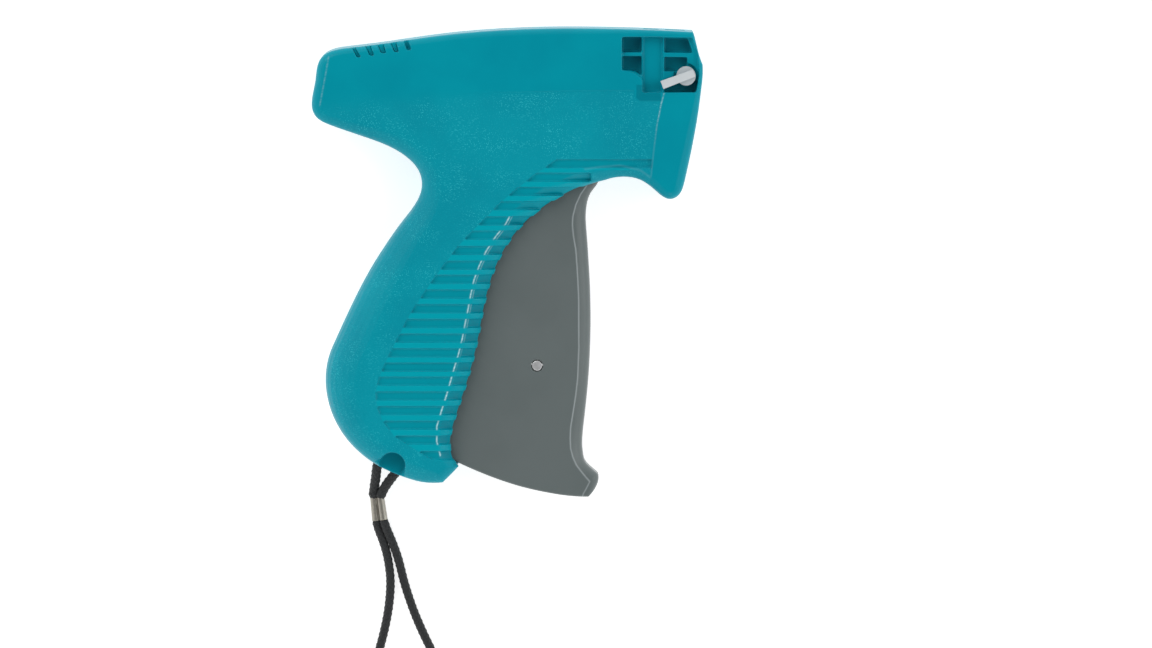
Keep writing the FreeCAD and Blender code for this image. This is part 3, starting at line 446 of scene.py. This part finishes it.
def spline_points(route, name):
    cu = bpy.data.curves.new(name, "CURVE")
    cu.dimensions = "3D"
    cu.resolution_u = 20
    sp = cu.splines.new("NURBS")
    sp.points.add(len(route) - 1)
    for p, q in zip(sp.points, route):
        p.co = (q[0] * MM, q[1] * MM, q[2] * MM, 1.0)
    sp.use_endpoint_u = True
    sp.order_u = 3
    o = link(bpy.data.objects.new(name, cu))
    me = bpy.data.meshes.new_from_object(o.evaluated_get(bpy.context.evaluated_depsgraph_get()))
    pts = np.array([v.co[:] for v in me.vertices]) * 1000.0
    bpy.data.objects.remove(o)
    bpy.data.curves.remove(cu)
    bpy.data.meshes.remove(me)
    return pts


def resample(pts, step):
    d = np.r_[0, np.cumsum(np.linalg.norm(np.diff(pts, axis=0), axis=1))]
    n = max(2, int(round(d[-1] / step)) + 1)
    u = np.linspace(0, d[-1], n)
    return np.stack([np.interp(u, d, pts[:, k]) for k in range(3)], 1), u, d[-1]


def braided_cord(name, route, node_name, rad, bulge=0.0):
    """Braided tube: six strands each way, over one and under one."""
    line = spline_points(route, name + "_line")
    step = 0.20
    pts, u, length = resample(line, step)
    tan = np.gradient(pts, axis=0)
    tan /= np.linalg.norm(tan, axis=1)[:, None]
    ref = np.cross(tan[0], (0, 0, 1.0))
    ref /= np.linalg.norm(ref)
    around = 48
    ang = np.linspace(0, 2 * math.pi, around, endpoint=False)
    verts, deep = [], []
    strands, lay = 6, 1.75
    taper = np.minimum(np.minimum(u, length - u) / 0.6, 1.0)
    rnd = np.random.RandomState(4)
    wob = np.interp(u, np.linspace(0, length, 60), np.abs(rnd.normal(0, 0.012, 60)))
    for i in range(len(pts)):
        ref = ref - tan[i] * ref.dot(tan[i])
        ref /= np.linalg.norm(ref)
        side = np.cross(tan[i], ref)
        a = strands * ang / (2 * math.pi) + u[i] / lay
        b = strands * ang / (2 * math.pi) - u[i] / lay
        fa, fb = (a % 1.0) * 2 - 1, (b % 1.0) * 2 - 1
        ha, hb = np.sqrt(np.clip(1 - fa * fa * 0.96, 0, 1)), np.sqrt(np.clip(1 - fb * fb * 0.96, 0, 1))
        s = np.sin(math.pi * a) * np.sin(math.pi * b)
        h = np.maximum(ha * (0.62 + 0.38 * s), hb * (0.62 - 0.38 * s))
        r = (rad * 1.07 - 0.30 * (1 - h)) * (1.0 + wob[i]) * (0.88 + 0.12 * math.sqrt(taper[i]))
        r = np.minimum(r, rad * 1.08) + bulge * math.exp(-((u[i] - 1.3) / 0.75) ** 2)
        verts.append(pts[i] + np.outer(np.cos(ang) * r, ref) + np.outer(np.sin(ang) * r, side))
        deep.append(h)
    verts = np.concatenate(verts) * MM
    deep = np.concatenate(deep)
    n = len(pts)
    faces = []
    for i in range(n - 1):
        for k in range(around):
            k2 = (k + 1) % around
            faces.append((i * around + k, i * around + k2, (i + 1) * around + k2, (i + 1) * around + k))
    faces.append(tuple(range(around - 1, -1, -1)))
    faces.append(tuple((n - 1) * around + k for k in range(around)))
    o = mesh_object(name, verts, faces)
    bm = bmesh.new()
    bm.from_mesh(o.data)
    bmesh.ops.recalc_face_normals(bm, faces=bm.faces)
    bm.to_mesh(o.data)
    bm.free()
    # strand height, which the cord material turns into painted shade in the hollows
    point_attribute(o, "deep", deep)
    finish_piece(o, "cord_black", "casing", node_name)
    return o


def ferrule():
    """Crimped double barrel: rolled mouths, two press marks on each barrel."""
    o = soften("lanyard_ferrule", "ferrule_crimped", 0.10, 2)
    co = coords(o)
    nz = normals(o)[:, 2]
    a0, a1 = np.array([-41.82, -76.35]), np.array([-40.92, -83.80])
    ax = (a1 - a0) / np.linalg.norm(a1 - a0)
    s = (co[:, :2] - a0) @ ax
    L = np.linalg.norm(a1 - a0)
    for c in (0.32, 0.68):
        w = np.exp(-((s - c * L) / 0.85) ** 2)
        co[:, 2] -= 0.16 * w * sstep(0.0, 0.7, nz)
    lip = np.exp(-((s - 0.25) / 0.28) ** 2) + np.exp(-((s - L + 0.25) / 0.28) ** 2)
    co[:, 2] += 0.05 * lip * nz
    set_coords(o, co)
    across = (co[:, 0] - a0[0]) * ax[1] * -1 + (co[:, 1] - a0[1]) * ax[0]
    mid = np.abs(across) - 0.05
    # painted shade mask along the split between the two barrels, on the faces turned up
    point_attribute(o, "deep", np.clip(1.0 - mid / 0.16, 0, 1) * sstep(-0.2, 0.3, nz))
    return finish_piece(o, "ferrule_metal", "casing", "lanyard_ferrule")


FER = ferrule()
braided_cord("wrist_loop", LOWER, "lanyard_wrist_cord", 1.35, 0.0)
braided_cord("anchor_loop", UPPER, "lanyard_anchor_cord", 1.5, 0.22)


# ------------------------------------------------------------ casing
VOX = 0.26
GROOVE_TOP = [159.2, 172.9, 187.0, 201.3, 216.5, 230.8, 246.0, 260.8, 275.0, 289.7, 304.5,
              319.2, 334.0, 348.7, 362.9, 377.0, 391.8, 406.5, 421.3, 436.3, 451.8]
GROOVE_LEFT = [(557.0, 159.2), (536.8, 172.9), (518.6, 187.0), (501.4, 201.3), (486.7, 216.5),
               (472.2, 230.8), (458.0, 246.0), (446.8, 260.8), (436.0, 275.0), (425.9, 289.7),
               (416.0, 304.5), (407.0, 319.2), (399.6, 334.0), (391.9, 348.7), (385.0, 362.9),
               (379.0, 377.0), (375.5, 391.8), (376.6, 406.5), (382.5, 421.3), (393.8, 436.3),
               (417.9, 451.8), (432.6, 460.6)]
# where each groove's floor turns down to the front edge
CREASE = pxs([(512, 212), (505.9, 223.8), (495.8, 236.5), (486.3, 251), (479.4, 265.5), (474, 280),
              (470.7, 295), (467.9, 310), (465, 324.5), (462.2, 339), (458.6, 353.8), (454.3, 368),
              (450, 383), (445.8, 397.6), (441.1, 412), (436.7, 426.8), (436.6, 442), (440.2, 456.2)])
REAR = pxs([(329, 57), (326, 74), (322.6, 92), (320, 106)])
# edge of the grained area below the smooth barrel panel and behind the front column
GRAINED = pxs([(315, 104), (360, 99), (420, 97), (470, 93), (560, 91), (634, 90.5), (635.6, 98), (640, 101),
               (661.5, 101), (660, 110), (657.5, 122), (654.5, 145), (652.3, 163), (650.5, 178), (655, 215),
               (640, 520), (280, 520), (280, 108)])
COLUMN = pxs([(664, 93), (661, 104), (659.5, 112), (657, 124), (654.2, 146), (652.3, 163), (651, 176)])
FACET = pxs([(636, 84), (645, 85), (647.5, 92.3), (661, 92.3), (661.5, 101), (640, 101), (636, 98)])
ARCH = pxs([(585, 169), (600, 167), (620, 165.5), (640, 170), (650, 177)])


def groove_mask(x, y):
    """1 in a groove's band right of its slanted end, and 1 on a rib between."""
    yp = 263.0 - y / 0.318
    xp = x / 0.318 + 507.0
    g = np.zeros(x.shape)
    for t in GROOVE_TOP:
        g = np.maximum(g, sstep(t - 0.6, t + 0.6, yp) * (1 - sstep(t + 8.2, t + 9.4, yp)))
    gy = [p[1] for p in GROOVE_LEFT]
    gx = [p[0] for p in GROOVE_LEFT]
    left = np.interp(yp, gy, gx)
    right = sstep(left - 0.5, left + 0.8, xp) * sstep(157.5, 159.5, yp) * (1 - sstep(460, 462, yp))
    end = np.where(yp < 170, 652.0, 603.0)
    right = right * (1 - sstep(end - 30, end, xp))
    return g * right, (1 - g) * right


def casing(node_name, name, mirror):
    o = soften(node_name, name, VOX, 2)
    co, nn = coords(o), normals(o)
    x, y = co[:, 0].copy(), co[:, 1].copy()
    z = 24.0 - co[:, 2] if mirror else co[:, 2].copy()
    nz = -nn[:, 2] if mirror else nn[:, 2]
    outer = sstep(0.1, 0.4, nz) * sstep(17.5, 19.0, z)
    sd = signed(x, y, GRAINED)
    fade = sstep(px(430, 0)[0], px(560, 0)[0], x)
    low = sstep(-0.16, 0.16, sd) * np.maximum(fade, 1 - sstep(1.0, 26.0, np.abs(sd)) * 0 - 1 + fade)
    dz = -0.20 * low * sstep(18.0, 22.0, z)
    sf = signed(x, y, FACET)
    facet = sstep(-0.05, 0.25, sf) * outer * sstep(23.0, 23.6, z + 0.2)
    dz -= 0.22 * sstep(0.0, 2.2, sf) * outer * sstep(23.2, 23.6, z)
    groove, rib = groove_mask(x, y)
    d, _ = chain_distance(x, y, CREASE)
    far = sstep(px(0, 461)[1], px(0, 459)[1], y) * (1 - sstep(px(0, 216)[1], px(0, 213)[1], y))
    dz += outer * groove * far * (0.14 * np.clip(1 - d / 0.4, 0, 1))
    dr, _ = chain_distance(x, y, REAR)
    dz += outer * 0.07 * np.clip(1 - dr / 0.45, 0, 1)
    da, wa = chain_distance(x, y, ARCH)
    dz += outer * 0.05 * np.clip(1 - da / 0.6, 0, 1) * np.sin(math.pi * np.clip(wa, 0, 1)) ** 0.5
    dc, wc = chain_distance(x, y, COLUMN)
    dz += outer * 0.05 * np.clip(1 - dc / 0.4, 0, 1)
    up = sstep(0.3, 0.7, nz) * (co[:, 2] > -99)
    notch = (x > px(350, 0)[0]) * (x < px(402, 0)[0]) * (y > px(0, 60)[1])
    dz += notch * up * 0.9 * sstep(21.4, 21.8, z) * (1 - sstep(22.3, 22.7, z))
    lane = (x > px(642.4, 0)[0]) & (x < px(662.6, 0)[0]) & (y > px(0, 92.4)[1]) & (z > 20.2) & (z < 21.3)
    dz = np.where(lane, 21.3 - z, dz)
    zn = np.minimum(z + dz, 24.0)
    co[:, 2] = 24.0 - zn if mirror else zn
    set_coords(o, co)
    loose = 1 - fade
    grain = sstep(-0.2 - 3.0 * loose, 0.8 + 4.0 * loose, sd) * (1 - np.maximum(groove, rib)) * outer
    hem = 1 - sstep(0.4, 3.0, np.abs(x - px(320, 0)[0])) * 0
    point_attribute(o, "grain", np.clip(grain * hem, 0, 1))
    rng = np.random.RandomState(7)
    wob = 0.78 + 0.22 * np.sin(y * 4.1 + np.sin(y * 9.7) * 1.3)
    # painted highlights: bright dashes on each groove floor at the crease, a fainter line beyond it, and lines along
    # the rear crease, the front column edge and the arch
    painted_highlight = groove * far * outer * np.clip(1.25 - d / 0.24, 0, 1) * wob
    d3 = np.abs(d - 0.75)
    east = x > np.interp(-y, [-p[1] for p in CREASE], [p[0] for p in CREASE])
    painted_highlight = np.maximum(painted_highlight, groove * far * outer * east * 0.30 * np.clip(1.1 - d3 / 0.2, 0, 1) * sstep(-45, -10, y))
    painted_highlight = np.maximum(painted_highlight, outer * 0.20 * np.clip(1.2 - dr / 0.30, 0, 1) * (0.55 + 0.45 * np.sin(y * 5.0) * np.sin(y * 2.3)))
    broken = 0.62 + 0.38 * np.sin(y * 7.3 + 2.0 * np.sin(y * 2.9))
    painted_highlight = np.maximum(painted_highlight, outer * 0.50 * np.clip(1.2 - dc / 0.20, 0, 1) * (1 - sstep(0.25, 0.80, wc)) * broken)
    painted_highlight = np.maximum(painted_highlight, outer * 0.05 * np.clip(1.2 - dc / 0.30, 0, 1))
    painted_highlight = np.maximum(painted_highlight, outer * 0.05 * np.clip(1.1 - da / 0.5, 0, 1))
    point_attribute(o, "painted_highlight", np.clip(painted_highlight, 0, 1))
    # painted light and shade: ribs and groove floors lighter, the step facet under the window corner and the front
    # flank darker
    painted_light_shade = 0.5 + 0.42 * rib * outer + 0.20 * groove * outer - 0.5 * facet
    flank = sstep(0.0, 1.2, x - np.interp(-y, [-p[1] for p in CREASE], [p[0] for p in CREASE])) * far * outer
    painted_light_shade = painted_light_shade - 0.12 * flank
    point_attribute(o, "painted_light_shade", np.clip(painted_light_shade, 0, 1))
    return finish_piece(o, "casing_teal", "casing", node_name)


casing("right_casing", "casing_right_shell", False)
casing("left_casing", "casing_left_shell", True)


# ------------------------------------------------------------ trigger
TRIG_CREASE = pxs([(586.8, 186), (580.6, 195), (575.8, 205.5), (572.9, 217), (572.4, 225.6), (573.4, 236),
                   (575.8, 250.5), (577.2, 269.6), (578.2, 289), (578.7, 302), (578.8, 348), (577.6, 380),
                   (575.7, 396.6), (573.2, 413.2), (570.8, 428), (570.1, 439.7), (570.7, 450.5), (572.8, 458.8),
                   (576.5, 467), (581.5, 473.7), (586.4, 479.5), (589.8, 483.5)])
TOE_CREASE = pxs([(589.8, 483.5), (586.4, 490.3), (583.5, 495.3), (582.5, 498.4)])


def trigger():
    o = soften("trigger", "trigger_body", 0.24, 2)
    co, nn = coords(o), normals(o)
    x, y, z = co[:, 0], co[:, 1], co[:, 2]
    side = np.where(z > 12, 1.0, -1.0)
    outer = sstep(0.1, 0.4, nn[:, 2] * side) * sstep(2.5, 4.0, np.abs(z - 12))
    d, _ = chain_distance(x, y, TRIG_CREASE)
    d2, _ = chain_distance(x, y, TOE_CREASE)
    top = 18.5
    # a low ridge along the crease and the toe crease on the outer faces, the sides held within 6.5 mm of the middle
    edge = np.clip(1 - d / 0.45, 0, 1)
    edge2 = np.clip(1 - d2 / 0.45, 0, 1)
    lift = 0.10 * np.maximum(edge, edge2 * 0.8) * outer
    zz = np.abs(z - 12) + lift
    co[:, 2] = 12 + side * np.minimum(zz, 6.5)
    set_coords(o, co)
    # painted highlight along the front crease and the toe crease
    painted_highlight = outer * np.maximum(np.clip(1.2 - d / 0.24, 0, 1), 0.75 * np.clip(1.2 - d2 / 0.24, 0, 1))
    point_attribute(o, "painted_highlight", np.clip(painted_highlight, 0, 1) * 0.75)
    return finish_piece(o, "trigger_grey", "trigger", "trigger")


trigger()


# ------------------------------------------------------------ small parts
def lathe(name, profile, axis_xy, seg=64):
    """Solid of revolution about a Z line; profile is (radius, z) in mm."""
    verts, faces = [], []
    ang = np.linspace(0, 2 * math.pi, seg, endpoint=False)
    for r, zz in profile:
        for a in ang:
            verts.append(((axis_xy[0] + r * math.cos(a)) * MM, (axis_xy[1] + r * math.sin(a)) * MM, zz * MM))
    n = len(profile)
    for i in range(n - 1):
        for k in range(seg):
            k2 = (k + 1) % seg
            faces.append((i * seg + k, i * seg + k2, (i + 1) * seg + k2, (i + 1) * seg + k))
    faces.append(tuple(range(seg - 1, -1, -1)))
    faces.append(tuple((n - 1) * seg + k for k in range(seg)))
    return mesh_object(name, verts, faces)


def link_pin():
    p = [(1.30, 5.62), (1.52, 5.66), (1.66, 5.80), (1.70, 6.0), (1.70, 18.0), (1.66, 18.2), (1.52, 18.34), (1.30, 18.38)]
    o = lathe("link_pin_headed", p, (9.54, -33.07))
    return finish_piece(o, "steel_pin", "trigger", "link_pin")


def lever():
    o = soften("needle_lock_lever", "lock_lever_moulded", 0.10, 2)
    co, nn = coords(o), normals(o)
    r = np.hypot(co[:, 0] - 56.9, co[:, 1] - 59.5)
    # painted highlight on the top face of the raised arm
    point_attribute(o, "painted_highlight", np.clip(sstep(0.15, 0.5, nn[:, 2]) * sstep(24.3, 24.7, co[:, 2]), 0, 1) * 0.5)
    return finish_piece(o, "lever_white", "needle_lock_lever", "needle_lock_lever")


def spring():
    """Return spring: close coil with a hook at its rear end and a short straight lead at the front."""
    x0, x1, yc, zc = -51.2, -39.6, 58.0, 12.0
    turns, rad, wire = 11.0, 2.35, 0.34
    pts = []
    for i in range(25):
        a = math.pi + (i / 24.0) * 1.6 * math.pi
        pts.append((-54.5 + 1.75 * math.cos(a) * -1, yc + 1.75 * math.sin(a), zc))
    pts = pts[::-1]
    steps = int(turns * 22)
    pts.append((-52.3, yc + 0.4, zc))
    for i in range(steps + 1):
        a = i / steps * turns * 2 * math.pi
        grow = min(1.0, 0.35 + i / 14.0, 0.35 + (steps - i) / 14.0)
        pts.append((x0 + 0.35 + (x1 - x0 - 0.7) * i / steps, yc + rad * grow * math.cos(a), zc + rad * grow * math.sin(a)))
    pts.append((x1 + 0.35, yc + 0.1, zc))
    pts = np.array(pts)
    tan = np.gradient(pts, axis=0)
    tan /= np.linalg.norm(tan, axis=1)[:, None]
    ref = np.array((0.0, 0.0, 1.0))
    verts, faces, seg = [], [], 10
    for i in range(len(pts)):
        ref = ref - tan[i] * ref.dot(tan[i])
        ref /= np.linalg.norm(ref)
        s = np.cross(tan[i], ref)
        for k in range(seg):
            a = 2 * math.pi * k / seg
            verts.append((pts[i] + (ref * math.cos(a) + s * math.sin(a)) * wire) * MM)
    for i in range(len(pts) - 1):
        for k in range(seg):
            k2 = (k + 1) % seg
            faces.append((i * seg + k, i * seg + k2, (i + 1) * seg + k2, (i + 1) * seg + k))
    faces.append(tuple(range(seg - 1, -1, -1)))
    faces.append(tuple((len(pts) - 1) * seg + k for k in range(seg)))
    o = mesh_object("return_spring_coil", verts, faces)
    bm = bmesh.new()
    bm.from_mesh(o.data)
    bmesh.ops.recalc_face_normals(bm, faces=bm.faces)
    bm.to_mesh(o.data)
    bm.free()
    o.data.materials.append(MAT["steel_blade"])
    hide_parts("return_spring")
    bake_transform(o, "casing", "ejector_slide", start=(-0.0520, 0.058, 0.012), end=(-0.0394, 0.058, 0.012))
    return o


link_pin()
lever()
spring()


# ------------------------------------------------------------ stage
def make_stage():
    bpy.ops.mesh.primitive_plane_add(size=8.0, location=(0, 0, -0.0002))
    f = bpy.context.active_object
    f.name = "floor"
    m = Mat("floor_pale")
    m.set("Base Color", m.mix(m.noise(3.0, 2.0, 0.5), (0.615, 0.615, 0.615), (0.625, 0.625, 0.625)))
    m.b.inputs["Roughness"].default_value = 0.9
    m.b.inputs["Specular IOR Level"].default_value = 0.0
    m.b.inputs["Emission Color"].default_value = (1.0, 1.0, 1.0, 1.0)
    m.b.inputs["Emission Strength"].default_value = 0.74
    f.data.materials.append(m.m)
    w = bpy.data.worlds.new("studio")
    SC.world = w
    w.use_nodes = True
    nt = w.node_tree
    bg = nt.nodes["Background"]
    tc = nt.nodes.new("ShaderNodeTexCoord")
    sep = nt.nodes.new("ShaderNodeSeparateXYZ")
    mr = nt.nodes.new("ShaderNodeMapRange")
    mr.interpolation_type = "SMOOTHSTEP"
    mr.inputs["From Min"].default_value = 0.35
    mr.inputs["From Max"].default_value = 0.95
    mr.inputs["To Min"].default_value = 1.0
    mr.inputs["To Max"].default_value = 0.14
    nt.links.new(tc.outputs["Generated"], sep.inputs[0])
    nt.links.new(sep.outputs["Z"], mr.inputs["Value"])
    bg.inputs[0].default_value = (1, 1, 1, 1)
    nt.links.new(mr.outputs[0], bg.inputs[1])

    def area(name, loc, size, power):
        d = bpy.data.lights.new(name, "AREA")
        d.shape = "RECTANGLE"
        d.size, d.size_y = size
        d.energy = power
        o = link(bpy.data.objects.new(name, d))
        o.location = loc
        o.rotation_mode = "QUATERNION"
        o.rotation_quaternion = (-Vector(loc)).to_track_quat("-Z", "Y")
    area("key", (-1.1, 1.2, 1.35), (1.3, 1.3), 14.0)
    area("fill", (1.3, 0.2, 1.2), (1.0, 1.4), 6.5)
    area("front", (0.1, -1.5, 1.2), (1.4, 1.0), 6.0)


make_stage()
SC.view_settings.view_transform = "Standard"
SC.view_settings.look = "None"
SC.view_settings.exposure = 0.0
SC.view_settings.gamma = 1.0
